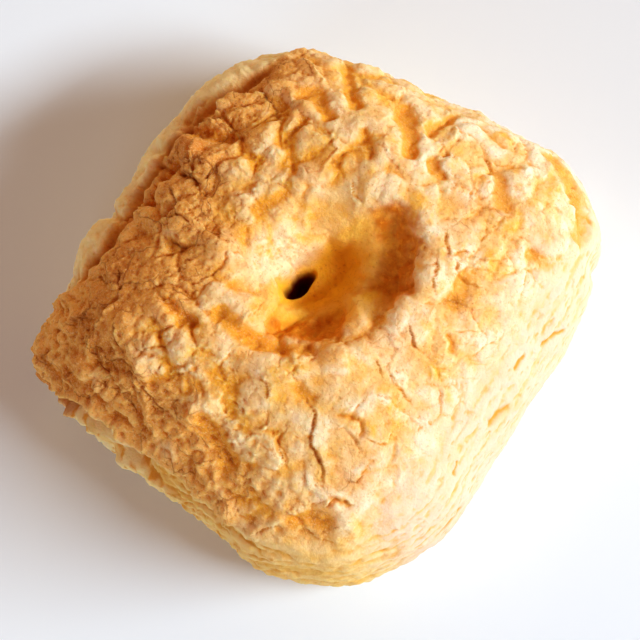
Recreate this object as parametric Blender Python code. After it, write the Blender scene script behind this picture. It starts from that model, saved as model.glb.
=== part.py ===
"""A butter biscuit: a square-cut scone of flaky dough with a browned, cracked top crust.

It is one solid.  Its form is a rounded square pillow with a flat base, pressed in the middle,
and its crags, cracks and flaky ledges are relief in the same surface.  The sizes below are in
millimetres and the mesh is written in metres.  +Z is up, the base is at z = 0, and the origin
is under the middle of the outline.
"""
import itertools

import bmesh
import bpy
import numpy as np

MM = 0.001

# ---------------------------------------------------------------- driving sizes
WIDTH = 70.0                    # along X
LENGTH = 75.0                   # along Y
HEIGHT = 37.5                   # crown of the crust above the base
WAIST_HEIGHT = 10.5             # where the sides reach furthest out
BASE_FALL = 20.0                # how fast the sides turn in below the waist
PRESSED_AT = (4.5, 0.0)         # the dough was pressed here, and the reaches start here
REACH_X = (38.1, 30.1)          # towards -X and towards +X
REACH_Y = (36.7, 36.6)          # towards -Y and towards +Y
SQUARENESS = ((4.1, 2.6), (3.6, 4.0))   # of the four corners, by side in X and in Y
SHOULDER_X = 2.4                # roundness of the shoulder over the X sides
SHOULDER_Y = 3.0                # and over the Y sides
GRID = (150, 64)                # rows of the grid across and up the sides, before thinning
TRIANGLES = 11000               # in the finished solid

# Places where the sides stand out or draw in: x, y, how wide, how far outwards.
SIDE_BULGES = [
    (-31.0, -34.0, 5.5, 2.5),   # the sharp corner
    (-18.0, -37.0, 7.0, -0.9),
    (-34.0, -21.0, 7.0, -1.6),
    (-36.0, -6.0, 4.0, -2.9),
    (-35.0, 5.0, 5.0, 1.4),
    (-33.0, 17.0, 5.0, 1.7),
    (-24.0, 28.0, 7.0, 1.6),
    (-12.0, 36.0, 10.0, -0.7),
    (8.0, 38.0, 7.0, 1.2),
    (19.0, 38.0, 7.0, 4.0),
    (30.0, 33.0, 6.0, 2.0),
    (31.5, 29.5, 2.2, -1.6),    # a notch under the crust
    (35.0, 2.0, 8.0, 0.9),
    (34.0, -14.0, 9.0, 2.3),
    (29.0, -31.0, 5.0, 0.6),
    (18.0, -38.0, 6.5, 1.5),
    (4.0, -38.0, 7.0, -0.3),
]

# Hollows pressed into the top: x, y, half length, half width, turn in degrees, depth, and the
# share of the half width at which the floor begins, towards -X and towards +X.
DIMPLE = (2.0, 3.0, 17.0, 13.8, 66.0, 7.8, 0.1, 0.3)
FUNNEL = (2.0, 1.8, 9.4, 5.4, 68.0, 4.2, 0.72, 0.0)
PIN_HOLE = (-1.3, -0.5, 3.5, 1.5, 79.0, 8.0, 0.35, 0.35)

# Folds and lumps that stand up: path in plan, half width, height.
RIDGES = [
    ([(-5.7, -19.7), (-0.4, -15.0), (6.1, -12.7), (9.7, -7.5), (13.8, -4.6)], 2.4, 1.2),
    ([(15.1, -0.1), (15.8, 5.9), (13.8, 11.1)], 3.0, 0.8),
    ([(12.4, 14.8), (8.1, 17.9), (3.2, 17.9)], 2.6, 0.7),
    ([(-3.5, -10.7), (-2.1, -7.6)], 2.6, 1.6),
    ([(0.1, 16.9), (0.3, 16.8)], 2.5, 1.3),
    ([(-1.0, 22.5), (-0.9, 22.5)], 2.8, 1.0),
    ([(-24.4, 5.8), (-24.2, 5.7)], 2.2, 1.5),
    ([(-1.4, -25.9), (0.2, -24.0)], 2.4, 1.1),
    ([(-12.8, -15.4), (-11.0, -16.3)], 1.6, 0.8),
    ([(-15.4, -21.4), (-11.3, -21.9)], 3.0, 0.7),
    ([(-13.0, -3.2), (-12.4, -3.5)], 2.2, 0.9),
    ([(24.3, -24.7), (25.2, -24.8)], 2.6, 1.2),
    ([(-31.0, 2.3), (-29.7, -4.3)], 2.2, 0.9),
    ([(4.6, 11.0), (6.8, 6.5), (8.0, 2.5)], 1.3, 0.8),
    ([(8.8, 1.8), (10.4, -0.8), (9.8, -2.8)], 1.9, 1.8),
]
# Smooth golden hollows where the crust has opened: path in plan, half width, depth.
HOLLOWS = [
    ([(-26.1, 8.4), (-24.2, 10.2), (-21.2, 11.2)], 1.2, 1.6),
    ([(-11.6, 3.9), (-10.1, 6.4), (-8.9, 9.5)], 0.9, 0.8),
    ([(-10.2, 12.3), (-13.4, 15.1), (-13.8, 18.8)], 0.9, 1.1),
    ([(-17.1, 22.5), (-15.9, 24.2), (-13.7, 23.7), (-11.4, 21.8)], 1.2, 1.3),
    ([(-15.9, 31.4), (-11.1, 27.2), (-9.2, 26.1)], 1.1, 1.2),
    ([(-3.2, 30.3), (-0.7, 27.3), (2.2, 24.0)], 1.2, 1.7),
    ([(1.9, 29.1), (2.5, 32.8)], 1.1, 1.5),
    ([(5.3, 24.7), (7.8, 24.2)], 0.9, 1.0),
    ([(-5.4, 23.0), (-2.5, 20.4)], 0.9, 0.8),
    ([(13.2, 29.5), (15.5, 27.1), (17.8, 25.8)], 1.1, 1.1),
    ([(17.2, 35.0), (20.6, 34.4), (24.6, 32.2), (27.4, 29.4)], 1.2, 1.6),
    ([(20.2, 9.3), (20.2, 11.4), (19.8, 13.4)], 1.4, 1.3),
    ([(22.2, 5.5), (23.5, 3.9)], 0.9, 0.9),
    ([(13.1, 1.5), (13.8, 0.8)], 1.0, 1.0),
    ([(-12.7, -14.7), (-10.5, -15.4), (-8.5, -15.4)], 1.2, 1.5),
    ([(0.7, -25.7), (4.0, -26.6), (7.1, -28.6)], 1.3, 1.9),
    ([(10.0, -13.8), (12.2, -13.9)], 1.0, 1.0),
    ([(19.6, -29.6), (21.4, -28.6), (23.2, -26.8)], 1.2, 1.6),
    ([(24.4, 23.3), (27.0, 23.2)], 1.3, 1.2),
    ([(-25.6, -3.6), (-26.9, -6.1), (-28.8, -8.1)], 0.55, 1.7),
    ([(-25.1, 3.2), (-26.5, 0.4), (-26.2, -2.8)], 0.5, 1.6),
    ([(-28.5, 15.3), (-28.6, 12.6), (-28.4, 9.2)], 0.5, 1.2),
]
# Cracks in the crust: path in plan, half width, depth.
CRACKS = [
    ([(-24.5, 2.2), (-22.1, 2.8), (-19.9, 2.3)], 0.45, 1.3),
    ([(-22.6, -7.4), (-21.9, -4.8), (-19.7, -3.8), (-17.2, -3.2)], 0.4, 1.2),
    ([(-19.6, -5.9), (-18.5, -6.8), (-16.7, -6.6), (-15.8, -5.7)], 0.35, 0.9),
    ([(-23.0, -14.3), (-21.8, -16.8), (-20.5, -17.6)], 0.35, 1.0),
    ([(-19.7, -17.9), (-20.8, -21.1), (-20.6, -25.8), (-20.1, -28.0)], 0.4, 1.2),
    ([(-20.4, -20.2), (-20.2, -23.1), (-19.8, -25.7)], 0.35, 0.9),
    ([(-18.1, -21.1), (-16.6, -23.5), (-14.8, -24.4)], 0.35, 0.9),
    ([(-17.4, -28.0), (-14.3, -25.6), (-11.1, -25.6), (-9.3, -24.9)], 0.35, 0.9),
    ([(-7.7, -23.9), (-5.9, -21.9), (-4.4, -20.4), (-4.7, -18.2)], 0.35, 1.0),
    ([(10.3, -20.1), (12.1, -22.3), (14.6, -23.8)], 0.35, 1.1),
    ([(11.1, -14.3), (13.4, -15.6), (16.1, -19.4), (18.7, -20.9), (20.4, -23.5)], 0.5, 1.2),
    ([(16.0, -13.9), (17.6, -12.4), (19.2, -12.2), (20.4, -13.3), (20.6, -15.6)], 0.5, 1.1),
    ([(22.7, -20.5), (23.5, -19.3), (23.4, -18.1), (24.0, -16.5)], 0.35, 0.9),
    ([(21.7, -25.5), (22.3, -23.7), (24.8, -22.3)], 0.6, 1.5),
    ([(13.3, 18.3), (14.2, 15.9), (15.5, 15.1), (17.1, 16.6), (19.0, 17.3)], 0.35, 1.0),
    ([(16.1, 15.0), (17.6, 14.1), (18.8, 13.5), (21.0, 13.8), (22.8, 14.0)], 0.35, 1.0),
    ([(16.8, 3.4), (18.8, 1.3), (21.0, 1.2)], 0.35, 0.9),
]
# Steep places in the dimple's wall, and the crease inside its rim, by the same three sizes.
DARK_BAYS = [
    ([(6.2, 14.4), (9.6, 11.4), (11.8, 7.0)], 3.1, 1.5),
    ([(2.8, -7.0), (5.6, -5.6), (8.2, -3.4)], 2.6, 1.3),
]
RIM_CREASE = [([(-5.6, -11.4), (-2.2, -12.0), (0.8, -11.6), (4.4, -10.8), (7.6, -8.4)], 1.2, 1.2)]
PILLOW_NOTCHES = (-19.5, -8.0, 4.0)     # where the pillows of the -X side meet, along Y
# Hollows under the crust's overhang on the -Y side: middle along X, half width.
LIP_HOLLOWS = ((-21.0, 2.8), (-14.5, 3.2), (-8.0, 3.0))
FOLD_TURN = 37.0                # of the sharp corner's wrinkles, in degrees from +X

CRUST_COLOUR = (0.71, 0.42, 0.17, 1.0)
CRUST_ROUGHNESS = 0.75


# ---------------------------------------------------------------- patterns
def smooth(low, high, value):
    """0 below low, 1 above high, with an eased step between."""
    share = np.clip((value - low) / (high - low), 0, 1)
    return share * share * (3 - 2 * share)


def bell(value, centre, width):
    return np.exp(-((value - centre) / width) ** 2)


def noise(points, size, seed):
    """Smooth noise between about -1 and 1, in lumps of the given size."""
    draw = np.random.default_rng(seed)
    order = draw.permutation(256)
    lean = draw.normal(size=(256, 3))
    lean /= np.linalg.norm(lean, axis=1)[:, None]
    place = points / size + 57.3
    cell = np.floor(place).astype(int)
    part = place - cell
    ease = part ** 3 * (part * (part * 6 - 15) + 10)
    total = np.zeros(len(points))
    for corner in itertools.product((0, 1), repeat=3):
        x, y, z = ((cell + corner) & 255).T
        pick = order[(order[(order[x] + y) & 255] + z) & 255]
        weight = np.prod(np.where(corner, ease, 1 - ease), axis=1)
        total += weight * np.einsum("ij,ij->i", lean[pick], part - corner)
    return total * 1.6


def octaves(points, size, count, seed):
    """Noise with finer and finer lumps, each half as big and half as high."""
    return sum(noise(points, size / 2 ** k, seed + k) / 2 ** k for k in range(count))


def wander(points, size, reach, seed):
    """Points pushed about, so that a pattern read there looks torn and not ruled."""
    push = [noise(points, size, seed + axis) for axis in range(3)]
    return points + reach * np.stack(push, axis=1)


def plates(points, size, seed):
    """Broken plates: distance to the nearest border, and a number from 0 to 1 for each plate."""
    draw = np.random.default_rng(seed)
    order = draw.permutation(256)
    middle = 0.05 + 0.9 * draw.random((256, 3))
    place = points / size + 31.7
    home = np.floor(place).astype(int)
    count = len(points)
    near, next_near = np.full(count, 9.0), np.full(count, 9.0)
    way, next_way = np.zeros((count, 3)), np.zeros((count, 3))
    plate = np.zeros(count, int)
    for step in itertools.product((-1, 0, 1), repeat=3):
        x, y, z = ((home + step) & 255).T
        pick = order[(order[(order[x] + y) & 255] + z) & 255]
        away = home + step + middle[pick] - place
        far = np.einsum("ij,ij->i", away, away)
        closest = far < near
        second = ~closest & (far < next_near)
        next_way[closest], next_near[closest] = way[closest], near[closest]
        way[closest], near[closest], plate[closest] = away[closest], far[closest], pick[closest]
        next_way[second], next_near[second] = away[second], far[second]
    border = (next_near - near) / (2 * np.linalg.norm(next_way - way, axis=1) + 1e-9)
    return border * size, plate / 255


# ---------------------------------------------------------------- the main form
def pillow(ways):
    """The rounded square form, met by a ray from the waist's middle in each way."""
    x, y, z = ways.T
    right, ahead = (x > 0).astype(int), (y > 0).astype(int)
    across = np.abs(x / np.take(REACH_X, right))
    along = np.abs(y / np.take(REACH_Y, ahead))
    square = np.array(SQUARENESS)[right, ahead]
    plan = (across ** square + along ** square) ** (1 / square)
    turn = along ** 2 / (across ** 2 + along ** 2 + 1e-12)
    shoulder = np.where(z > 0, SHOULDER_X * (1 - turn) + SHOULDER_Y * turn, 3.0)
    fall = np.where(z > 0, HEIGHT - WAIST_HEIGHT, BASE_FALL)
    far = (plan ** shoulder + np.abs(z / fall) ** shoulder) ** (-1 / shoulder)
    to_base = WAIST_HEIGHT / np.maximum(-z, 1e-9)
    far = np.where(z < 0, np.minimum(far, to_base), far)
    return ways * far[:, None] + np.array([*PRESSED_AT, WAIST_HEIGHT])


def side_bulge(points):
    """How far the sides stand out of the even form."""
    out = np.zeros(len(points))
    for x, y, wide, reach in SIDE_BULGES:
        out += reach * bell(np.hypot(points[:, 0] - x, points[:, 1] - y), 0, wide)
    return out


def bowl(points, hollow):
    """Depth of an oval hollow below each point.  Its wall is steeper or gentler towards +X."""
    x, y, long, wide, turn, depth, left_floor, right_floor = hollow
    cos, sin = np.cos(np.radians(turn)), np.sin(np.radians(turn))
    dx, dy = points[:, 0] - x, points[:, 1] - y
    off = (dx * sin - dy * cos) / wide
    far = np.hypot((dx * cos + dy * sin) / long, off)
    floor = left_floor + (right_floor - left_floor) * smooth(-0.6, 0.6, off)
    return depth * smooth(1.0, floor, far)


def path_distance(points, path):
    """Distance in plan from each point to a bent line."""
    plan = points[:, :2]
    nearest = np.full(len(points), 99.0)
    for start, end in itertools.pairwise(np.array(path)):
        run = end - start
        share = np.clip((plan - start) @ run / (run @ run), 0, 1)
        nearest = np.minimum(nearest, np.hypot(*(plan - start - share[:, None] * run).T))
    return nearest


# ---------------------------------------------------------------- the relief
def crust_height(points):
    """Height of the edge where the browned crust gives way to the pale side."""
    x, y = points[:, 0], points[:, 1]
    edge = 25.5 + 4.5 * smooth(10, 26, x) * smooth(-30, -18, y) - 11.0 * smooth(22, 35, y)
    edge -= 19.0 * smooth(-15, -30, x) * smooth(-20, -30, y)
    return edge + 1.3 * noise(points, 9, 11) + 0.8 * noise(points, 3.5, 12)


def under_lip(points):
    """Where the crust overhangs hollows below it, along the -Y side from the sharp corner."""
    x, y = points[:, 0], points[:, 1]
    deep = np.zeros(len(points))
    for middle, half in LIP_HOLLOWS:
        deep = np.maximum(deep, bell(x + noise(points, 4, 14), middle, half))
    return deep * smooth(-25, -31, y)


def west_side(points):
    """Where the sides rose into pale pillows behind a crevice, along the -X side."""
    x, y = points[:, 0], points[:, 1]
    return smooth(-20, -25, x) * smooth(-22, -15, y) * smooth(27, 21, y)


def placed(points, paths):
    """The highest or deepest of several soft strokes, each from its path, half width and rise."""
    most = np.zeros(len(points))
    for path, wide, rise in paths:
        most = np.maximum(most, rise * bell(path_distance(points, path), 0, wide))
    return most


def corner_folds(points):
    """Wrinkles that run over the top of the sharp corner."""
    corner = smooth(-21, -25, points[:, 0]) * smooth(-22, -27, points[:, 1])
    cos, sin = np.cos(np.radians(FOLD_TURN)), np.sin(np.radians(FOLD_TURN))
    x, y, z = wander(points, 4, 0.8, 18).T
    turned = np.stack([(x * cos + y * sin) / 1.6, (y * cos - x * sin) / 9.0, z / 9.0], axis=1)
    return 1.4 * corner * np.abs(noise(turned, 1.0, 19))


def crust_relief(points):
    """Puffs, plates, cracks, folds and hollows of the browned top."""
    torn = wander(wander(points, 3.2, 0.5, 20), 1.0, 0.3, 26)
    drift = wander(points, 6.5, 1.6, 24)
    puffy = smooth(-0.35, 0.5, noise(points, 13, 28) + 0.012 * points[:, 1])
    crumbly = smooth(-18, -28, points[:, 1])
    border, dome = plates(wander(drift, 3.0, 0.7, 56), 6.0, 58)
    rise = 0.75 * octaves(points, 17, 2, 52)
    rise += (0.35 + 0.75 * puffy) * (1 - np.exp(-border / (0.8 + 0.7 * dome)))
    rise += (0.45 + 0.5 * puffy) * noise(drift, 5.5, 30)
    rise += (0.2 + 0.2 * puffy) * np.abs(noise(wander(points, 3, 0.8, 32), 2.9, 35))
    rise += (0.15 + 0.45 * crumbly) * noise(wander(points, 1.6, 0.5, 94), 1.6, 95)
    border, plate = plates(wander(wander(drift, 2.2, 0.4, 36), 0.9, 0.3, 42), 7.5, 38)
    broken = smooth(0.1, 0.5, noise(points, 6.5, 40))
    rise += 0.28 * (plate - 0.5) + 0.15 * broken * bell(border, 0.8, 0.6)
    sunk = placed(wander(torn, 3.5, 0.8, 16), HOLLOWS)
    calm = 1.2 - 0.55 * smooth(-14, 8, points[:, 0] + 0.6 * points[:, 1])
    rise *= calm * (1 - 0.4 * smooth(0.1, 1.1, sunk))
    rise += placed(wander(points, 5, 1.0, 93), RIDGES) + corner_folds(points) - 0.65 * sunk
    rise -= placed(wander(torn, 2.5, 1.2, 17), DARK_BAYS) + placed(torn, RIM_CREASE)
    return rise - 0.5 * placed(torn, CRACKS)


def side_relief(points):
    """Flaky ledges and open pores of the pale sides."""
    south, east = smooth(-12, -28, points[:, 1]), smooth(15, 25, points[:, 0])
    drift = wander(points, 9, 1.6, 60)
    layer = noise(drift / np.array([9, 9, 2.2]), 1.0, 63)
    layer += 0.6 * noise(wander(drift, 2.0, 0.5, 65) / np.array([3.6, 3.6, 0.9]), 1.0, 64)
    flaky = 0.15 + 0.5 * south * smooth(24, 6, points[:, 0])
    rise = flaky * np.tanh(2.0 * layer) + 0.7 * octaves(points, 13, 2, 75)
    rise += 0.3 * south * noise(points, 1.6, 78)
    return rise + (0.35 - 0.2 * east) * octaves(points, 2.2, 2, 70)


def relief(points):
    """How far the surface stands out of the main form, along its normals."""
    above = points[:, 2] - crust_height(points)
    east, west = smooth(8, 24, points[:, 0]), west_side(points)
    crust = smooth(-1.0 - 3.0 * east, 1.0 + 2.0 * east, above)
    rise = crust * crust_relief(points) + (1 - crust) * side_relief(points)
    pressed = np.clip(bowl(points, DIMPLE) / DIMPLE[5] * 1.5, 0, 1)
    funnel = smooth(0.1, 0.7, bowl(points, FUNNEL) / FUNNEL[5])
    rise *= (1 - 0.15 * pressed) * (1 - 0.6 * funnel)
    lip = (0.5 + 0.5 * noise(points, 8, 80)) * (1 - 0.7 * east) * (1 - west)
    rise += lip * (0.7 * bell(above, 1.3, 1.2) - 0.9 * bell(above, -1.6, 1.3))
    hollowed = 0.9 * bell(above, 0.5, 1.2) - 3.6 * bell(above, -3.2, 2.2)
    rise += under_lip(points) * (hollowed + 1.6 * bell(above, -7.6, 1.8))
    behind = above + 1.0 * noise(points, 5, 79)
    rise += west * (1.1 * bell(behind, -1.6, 2.2) - 1.2 * bell(behind, 1.8, 0.8))
    for notch in PILLOW_NOTCHES:
        rise -= 1.6 * west * bell(points[:, 1], notch, 1.0) * bell(above, -2.0, 3.5)
    return (rise + side_bulge(points)) * smooth(0.0, 2.5, points[:, 2])


# ---------------------------------------------------------------- the mesh
def grid_cube(across, upright):
    """A cube whose faces are fine grids, with its own number of rows up the sides."""
    bm = bmesh.new()
    bmesh.ops.create_cube(bm, size=2)
    flat = [edge for edge in bm.edges if edge.verts[0].co.z == edge.verts[1].co.z]
    bmesh.ops.subdivide_edges(bm, edges=flat, cuts=across - 1, use_grid_fill=True)
    tall = [edge for edge in bm.edges if edge.verts[0].co.z != edge.verts[1].co.z]
    bmesh.ops.subdivide_edges(bm, edges=tall, cuts=upright - 1, use_grid_fill=True)
    mesh = bpy.data.meshes.new("biscuit")
    bm.to_mesh(mesh)
    bm.free()
    return mesh


def read_points(mesh):
    flat = np.empty(3 * len(mesh.vertices))
    mesh.vertices.foreach_get("co", flat)
    return flat.reshape(-1, 3)


def write_points(mesh, points):
    mesh.vertices.foreach_set("co", points.astype(np.float32).ravel())
    mesh.update()


def normals(mesh):
    flat = np.empty(3 * len(mesh.vertices), np.float32)
    mesh.vertex_normals.foreach_get("vector", flat)
    return flat.reshape(-1, 3).astype(float)


def shape(mesh):
    """Moves the grid cube's points out to the biscuit's surface, in metres."""
    ways = np.tan(read_points(mesh) * np.pi / 4) * np.array([WIDTH, LENGTH, 1.25 * HEIGHT])
    ways /= np.linalg.norm(ways, axis=1)[:, None]
    form = pillow(ways)
    write_points(mesh, form * MM)
    on_top = smooth(0.2, 0.7, normals(mesh)[:, 2])
    points = form.copy()
    points[:, 2] -= on_top * (bowl(form, DIMPLE) + bowl(wander(form, 2.5, 0.6, 98), FUNNEL))
    write_points(mesh, points * MM)
    points += normals(mesh) * relief(form)[:, None]
    points[:, 2] -= on_top * bowl(wander(form, 2.0, 0.35, 90), PIN_HOLE)
    points[:, 2] = np.maximum(points[:, 2], 0)
    write_points(mesh, points * MM)


def thin_out(biscuit):
    """Keeps the number of triangles that the solid may have, most of them where it is rough."""
    thinning = biscuit.modifiers.new("thinning", "DECIMATE")
    thinning.ratio = TRIANGLES / (2 * len(biscuit.data.polygons))
    thinning.use_collapse_triangulate = True
    evaluated = biscuit.evaluated_get(bpy.context.evaluated_depsgraph_get())
    rough = biscuit.data
    biscuit.data = bpy.data.meshes.new_from_object(evaluated)
    biscuit.modifiers.clear()
    bpy.data.meshes.remove(rough)


def bring_to_size(mesh):
    """Scales the biscuit to its named sizes and puts the origin under its middle."""
    points = read_points(mesh)
    low, high = points.min(axis=0), points.max(axis=0)
    size = np.array([WIDTH, LENGTH, HEIGHT]) * MM
    middle = np.array([(low[0] + high[0]) / 2, (low[1] + high[1]) / 2, low[2]])
    write_points(mesh, (points - middle) * size / (high - low))


def baked_crust():
    material = bpy.data.materials.new("baked crust")
    material.use_nodes = True
    shader = material.node_tree.nodes["Principled BSDF"]
    shader.inputs["Base Color"].default_value = CRUST_COLOUR
    shader.inputs["Roughness"].default_value = CRUST_ROUGHNESS
    return material


for old in list(bpy.data.objects):
    bpy.data.objects.remove(old)

biscuit = bpy.data.objects.new("biscuit", grid_cube(*GRID))
bpy.context.scene.collection.objects.link(biscuit)
shape(biscuit.data)
thin_out(biscuit)
bring_to_size(biscuit.data)
biscuit.data.name = "biscuit"
biscuit.data.shade_smooth()
biscuit.data.materials.append(baked_crust())
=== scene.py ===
import itertools
import math

import bmesh
import bpy
import numpy as np
from mathutils import Matrix, Quaternion, Vector


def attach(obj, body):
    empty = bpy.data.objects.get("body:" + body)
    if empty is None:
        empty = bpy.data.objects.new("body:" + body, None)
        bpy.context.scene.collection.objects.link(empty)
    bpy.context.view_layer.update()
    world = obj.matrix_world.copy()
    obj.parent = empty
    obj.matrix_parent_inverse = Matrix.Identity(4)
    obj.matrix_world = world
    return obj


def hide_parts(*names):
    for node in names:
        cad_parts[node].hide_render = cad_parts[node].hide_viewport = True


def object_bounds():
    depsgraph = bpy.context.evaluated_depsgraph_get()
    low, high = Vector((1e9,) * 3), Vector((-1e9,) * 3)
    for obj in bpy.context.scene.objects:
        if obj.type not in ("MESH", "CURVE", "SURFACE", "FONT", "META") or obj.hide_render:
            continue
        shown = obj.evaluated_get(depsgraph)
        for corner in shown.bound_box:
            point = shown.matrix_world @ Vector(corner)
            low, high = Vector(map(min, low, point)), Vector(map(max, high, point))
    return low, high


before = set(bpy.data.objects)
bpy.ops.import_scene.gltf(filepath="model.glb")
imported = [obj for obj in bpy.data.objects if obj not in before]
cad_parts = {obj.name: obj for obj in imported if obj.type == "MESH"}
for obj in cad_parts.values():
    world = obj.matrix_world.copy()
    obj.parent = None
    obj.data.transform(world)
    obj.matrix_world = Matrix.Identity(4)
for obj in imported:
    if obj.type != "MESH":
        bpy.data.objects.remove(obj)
cad_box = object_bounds()

# ==================================================================== the biscuit
# A butter biscuit: a square of layered wheat dough, pressed and pricked in the middle before it
# was baked.  The top has dried into a brown crust that puffed and tore, and the sides, where the
# knife went, stayed pale and opened into flaky layers.  It is one piece of dough.
MM = 0.001
WIDTH, LENGTH, HEIGHT = np.array(cad_box[1] - cad_box[0]) / MM

# ---- The even form, in millimetres from under the middle of the outline.
WAIST_HEIGHT = 10.5             # where the sides reach furthest out
BASE_FALL = 20.0                # how fast the sides turn in below the waist
PRESSED_AT = (4.5, 0.0)         # the dough was pressed here, and the reaches start here
REACH_X = (38.1, 30.1)          # towards -X and towards +X
REACH_Y = (36.7, 36.6)          # towards -Y and towards +Y
SQUARENESS = ((4.1, 2.6), (3.6, 4.0))   # of the four corners, by side in X and in Y
SHOULDER_X = 2.4                # roundness of the shoulder over the X sides
SHOULDER_Y = 3.0                # and over the Y sides
FOOT = 3.0                      # and below the waist

# Places where the sides stand out or draw in: x, y, how wide, how far outwards.
SIDE_BULGES = [
    (-31.0, -34.0, 5.5, 2.5),   # the sharp corner
    (-18.0, -37.0, 7.0, -0.9),
    (-34.0, -21.0, 7.0, -1.6),
    (-36.0, -6.0, 4.0, -2.9),
    (-35.0, 5.0, 5.0, 1.4),
    (-33.0, 17.0, 5.0, 1.7),
    (-24.0, 28.0, 7.0, 1.6),
    (-12.0, 36.0, 10.0, -0.7),
    (8.0, 38.0, 7.0, 1.2),
    (19.0, 38.0, 7.0, 4.0),
    (30.0, 33.0, 6.0, 2.0),
    (31.5, 29.5, 2.2, -1.6),    # a notch under the crust
    (35.0, 2.0, 8.0, 0.9),
    (34.0, -14.0, 9.0, 2.3),
    (29.0, -31.0, 5.0, 0.6),
    (18.0, -38.0, 6.5, 1.5),
    (4.0, -38.0, 7.0, -0.3),
]
NOISE_START, PLATES_START = 57.3, 31.7  # where a pattern's own grid starts, in lumps
NOISE_GAIN = 1.6                # brings the noise to between about -1 and 1
CELLS = 256                     # of a pattern's grid, each way, before the pattern repeats


def smooth(low, high, value):
    """0 below low, 1 above high, with an eased step between."""
    share = np.clip((value - low) / (high - low), 0, 1)
    return share * share * (3 - 2 * share)


def bell(value, centre, width):
    """1 at the centre, falling to 0 over about twice the width."""
    return np.exp(-((value - centre) / width) ** 2)


def shuffled(order, cells):
    """A number for each cell of a pattern's grid, in no order that shows."""
    x, y, z = (cells & (CELLS - 1)).T
    return order[(order[(order[x] + y) & (CELLS - 1)] + z) & (CELLS - 1)]


def noise(points, size, seed):
    """Smooth noise between about -1 and 1, in lumps of the given size.  Each call has its own seed."""
    draw = np.random.default_rng(seed)
    order = draw.permutation(CELLS)
    lean = draw.normal(size=(CELLS, 3))
    lean /= np.linalg.norm(lean, axis=1)[:, None]
    place = points / size + NOISE_START
    cell = np.floor(place).astype(int)
    part = place - cell
    ease = part ** 3 * (part * (part * 6 - 15) + 10)
    total = np.zeros(len(points))
    for corner in itertools.product((0, 1), repeat=3):
        pick = shuffled(order, cell + corner)
        weight = np.prod(np.where(corner, ease, 1 - ease), axis=1)
        total += weight * np.einsum("ij,ij->i", lean[pick], part - corner)
    return total * NOISE_GAIN


def octaves(points, size, count, seed):
    """Noise with finer and finer lumps, each half as big and half as high."""
    return sum(noise(points, size / 2 ** k, seed + k) / 2 ** k for k in range(count))


def wander(points, size, reach, seed):
    """Points pushed about, so that a pattern read there looks torn and not ruled."""
    push = [noise(points, size, seed + axis) for axis in range(3)]
    return points + reach * np.stack(push, axis=1)


def plates(points, size, seed):
    """Broken plates: distance to the nearest border, a number for each plate, and its tilt."""
    draw = np.random.default_rng(seed)
    order = draw.permutation(CELLS)
    middle = 0.05 + 0.9 * draw.random((CELLS, 3))
    lean = draw.normal(size=(CELLS, 3))
    place = points / size + PLATES_START
    home = np.floor(place).astype(int)
    count = len(points)
    near, next_near = np.full(count, 9.0), np.full(count, 9.0)
    way, next_way = np.zeros((count, 3)), np.zeros((count, 3))
    plate = np.zeros(count, int)
    for step in itertools.product((-1, 0, 1), repeat=3):
        pick = shuffled(order, home + step)
        away = home + step + middle[pick] - place
        far = np.einsum("ij,ij->i", away, away)
        closest = far < near
        second = ~closest & (far < next_near)
        next_way[closest], next_near[closest] = way[closest], near[closest]
        way[closest], near[closest], plate[closest] = away[closest], far[closest], pick[closest]
        next_way[second], next_near[second] = away[second], far[second]
    border = (next_near - near) / (2 * np.linalg.norm(next_way - way, axis=1) + 1e-9)
    return border * size, plate / (CELLS - 1), np.einsum("ij,ij->i", lean[plate], way) * size


def pillow(ways):
    """The rounded square form, met by a ray from the waist's middle in each way."""
    x, y, z = ways.T
    right, ahead = (x > 0).astype(int), (y > 0).astype(int)
    across = np.abs(x / np.take(REACH_X, right))
    along = np.abs(y / np.take(REACH_Y, ahead))
    square = np.array(SQUARENESS)[right, ahead]
    plan = (across ** square + along ** square) ** (1 / square)
    turn = along ** 2 / (across ** 2 + along ** 2 + 1e-12)
    shoulder = np.where(z > 0, SHOULDER_X * (1 - turn) + SHOULDER_Y * turn, FOOT)
    fall = np.where(z > 0, HEIGHT - WAIST_HEIGHT, BASE_FALL)
    far = (plan ** shoulder + np.abs(z / fall) ** shoulder) ** (-1 / shoulder)
    to_base = WAIST_HEIGHT / np.maximum(-z, 1e-9)
    far = np.where(z < 0, np.minimum(far, to_base), far)
    return ways * far[:, None] + np.array([*PRESSED_AT, WAIST_HEIGHT])


def side_bulge(points):
    """How far the sides stand out of the even form."""
    out = np.zeros(len(points))
    for x, y, wide, reach in SIDE_BULGES:
        out += reach * bell(np.hypot(points[:, 0] - x, points[:, 1] - y), 0, wide)
    return out


# ---- The hollow that was pressed and pricked: x, y, half length, half width, turn in degrees,
# depth, and the share of the half width at which the floor begins, towards -X and towards +X.
DIMPLE = (2.0, 3.0, 17.0, 13.8, 66.0, 7.8, 0.1, 0.3)
FUNNEL = (2.0, 1.8, 9.4, 5.4, 68.0, 4.2, 0.72, 0.0)
PIN_HOLE = (-1.3, -0.5, 3.5, 1.5, 79.0, 8.0, 0.35, 0.35)
DEPTH = 5                       # the place of the depth among those sizes
# The ragged edge is where the rim's painted shadow ends: painted shade lies beyond it and painted
# light before it.
EDGE_OF_LIGHT = (0.6, 9.8, 74.0)        # x, y and turn of the ragged edge along the funnel
LIT_SLOPE_AT = (-6.5, 0.5, 7.0)            # x, y and how wide, of the pale slope into the dimple


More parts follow.
